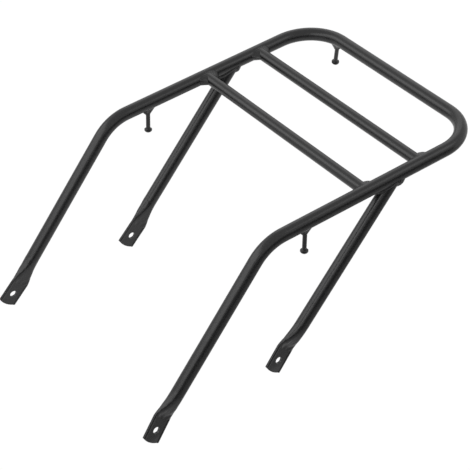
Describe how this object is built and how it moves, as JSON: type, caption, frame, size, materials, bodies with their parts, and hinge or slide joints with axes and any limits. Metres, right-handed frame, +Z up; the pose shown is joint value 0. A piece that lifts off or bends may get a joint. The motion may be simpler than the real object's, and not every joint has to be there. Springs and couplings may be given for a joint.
{
  "type": "motorcycle luggage rack",
  "caption": "Welded steel-tube luggage rack for the tail of a motorcycle: a bent hoop on slanted legs and struts with flattened, drilled feet, crossbars, and pegs for luggage cords.",
  "frame": {"origin": "the middle of the four bolt holes that fasten the rack to the motorcycle", "axes": "+Z up, -Y towards the front of the motorcycle, so the load deck lies behind the feet, +X the rider's left"},
  "size_m": [0.3182, 0.49, 0.1975],
  "materials": {
    "black_powder_coat": "satin"
  },
  "bodies": {
    "root": {"main_hoop": "black_powder_coat", "front_crossbar": "black_powder_coat", "middle_crossbar": "black_powder_coat", "left_strut": "black_powder_coat", "right_strut": "black_powder_coat", "left_peg": "black_powder_coat", "right_peg": "black_powder_coat", "rear_peg": "black_powder_coat", "left_front_bar_weld": "black_powder_coat", "right_front_bar_weld": "black_powder_coat", "left_middle_bar_weld": "black_powder_coat", "right_middle_bar_weld": "black_powder_coat", "left_strut_weld": "black_powder_coat", "right_strut_weld": "black_powder_coat", "left_peg_weld": "black_powder_coat", "right_peg_weld": "black_powder_coat", "rear_peg_weld": "black_powder_coat"}
  },
  "joints": []
}
